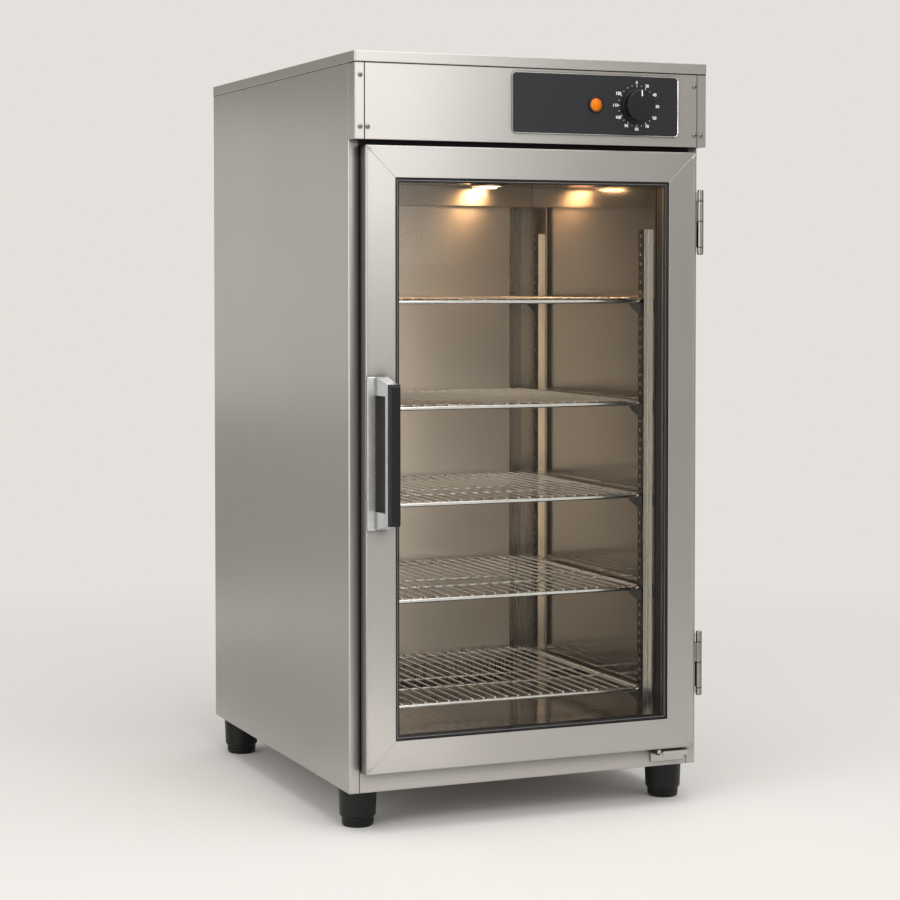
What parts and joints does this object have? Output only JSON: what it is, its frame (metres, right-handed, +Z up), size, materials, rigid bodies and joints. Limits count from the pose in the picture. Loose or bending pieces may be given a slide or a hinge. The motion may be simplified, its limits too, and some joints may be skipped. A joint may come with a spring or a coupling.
{
  "type": "plate warmer cabinet",
  "caption": "Upright heated plate warmer cabinet in brushed stainless steel, with a glazed door, wire shelves, a control header and levelling feet.",
  "frame": {"origin": "on the floor, below the middle of the bounding box", "axes": "+X to the right seen from the front, -Y towards the front (door side), +Z up"},
  "size_m": [0.596, 0.7954, 1.18],
  "materials": {
    "steel_side": "brushed stainless sheet, grain upright",
    "steel_lid": "brushed stainless sheet",
    "steel_front": "brushed stainless sheet",
    "steel_liner": "bright rolled stainless sheet",
    "mineral_wool": "matt fibre slab",
    "clip_steel": "dark grey stamping",
    "chromed_wire": "bright plated wire",
    "control_black": "satin near-black",
    "black_plastic": "satin black moulding",
    "orange_lens": "clear orange moulding",
    "device_grey": "plain grey",
    "lamp_steel": "satin",
    "lamp_glass": "frosted",
    "heater_sheath": "heat-tinted sheath",
    "hinge_steel": "satin",
    "screw_steel": "satin",
    "foot_black": "satin black moulding",
    "glazing_black": "satin black",
    "door_glass": "clear float glass",
    "seal_rubber": "matt",
    "handle_metal": "satin silver",
    "handle_lining": "satin dark",
    "grip_black": "satin black moulding",
    "fan_alloy": "plain",
    "roller_nylon": "plain dark grey"
  },
  "bodies": {
    "cabinet": {"side_panel_left": "steel_side", "side_panel_right": "steel_side", "back_panel": "steel_side", "base_pan": "steel_side", "lid": "steel_lid", "header_fascia": "steel_front", "header_end_left": "steel_front", "header_end_right": "steel_front", "bottom_rail": "steel_front", "front_frame": "steel_front", "liner_left": "steel_liner", "liner_right": "steel_liner", "liner_back": "steel_liner", "liner_ceiling": "steel_liner", "liner_floor": "steel_liner", "back_baffle": "steel_liner", "air_duct": "steel_liner", "insulation_slabs": "mineral_wool", "pilasters_front": "steel_liner", "pilasters_rear": "steel_liner", "shelf_clips": "clip_steel", "shelf_1": "chromed_wire", "shelf_2": "chromed_wire", "shelf_3": "chromed_wire", "shelf_4": "chromed_wire", "shelf_5": "chromed_wire", "control_plate": "control_black", "indicator_bezel": "black_plastic", "indicator_lens": "orange_lens", "thermostat": "device_grey", "ceiling_lamp_rings": "lamp_steel", "ceiling_lamp_lenses": "lamp_glass", "heater_element": "heater_sheath", "fan_motor": "device_grey", "cable_gland": "black_plastic", "hinge_frame_leaves": "hinge_steel", "hinge_pins": "hinge_steel", "header_screws": "screw_steel", "rest_bracket": "hinge_steel", "foot_sleeves": "foot_black"},
    "door": {"door_stile_left": "steel_front", "door_stile_right": "steel_front", "door_rail_top": "steel_front", "door_rail_bottom": "steel_front", "glazing_frame": "glazing_black", "glass_outer": "door_glass", "glass_inner": "door_glass", "door_seal": "seal_rubber", "hinge_door_leaves": "hinge_steel", "handle_body": "handle_metal", "handle_backplate": "handle_lining", "handle_grip": "grip_black"},
    "knob": {"knob": "black_plastic", "knob_spindle": "hinge_steel"},
    "fan": {"fan_wheel": "fan_alloy"},
    "rest_roller": {"rest_roller": "roller_nylon"},
    "foot_fl": {"foot_adjuster_fl": "foot_black"},
    "foot_fr": {"foot_adjuster_fr": "foot_black"},
    "foot_rl": {"foot_adjuster_rl": "foot_black"},
    "foot_rr": {"foot_adjuster_rr": "foot_black"}
  },
  "joints": [
    {"name": "door_hinge", "type": "hinge", "parent": "cabinet", "child": "door", "pos_m": [0.2891, -0.34025, 0.62], "axis": [0, 0, 1], "range_deg": [0, 170]},
    {"name": "thermostat_turn", "type": "hinge", "parent": "cabinet", "child": "knob", "pos_m": [0.173, -0.34175, 1.1105], "axis": [0, 1, 0], "range_deg": [0, 300]},
    {"name": "fan_spin", "type": "hinge", "parent": "cabinet", "child": "fan", "pos_m": [0, 0.24475, 0.987], "axis": [1, 0, 0], "continuous": true},
    {"name": "roller_spin", "type": "hinge", "parent": "cabinet", "child": "rest_roller", "pos_m": [0.222, -0.32425, 0.0867], "axis": [0, 1, 0], "continuous": true},
    {"name": "level_fl", "type": "slide", "parent": "cabinet", "child": "foot_fl", "axis": [0, 0, -1], "range_m": [0, 0.02]},
    {"name": "level_fr", "type": "slide", "parent": "cabinet", "child": "foot_fr", "axis": [0, 0, -1], "range_m": [0, 0.02]},
    {"name": "level_rl", "type": "slide", "parent": "cabinet", "child": "foot_rl", "axis": [0, 0, -1], "range_m": [0, 0.02]},
    {"name": "level_rr", "type": "slide", "parent": "cabinet", "child": "foot_rr", "axis": [0, 0, -1], "range_m": [0, 0.02]}
  ]
}
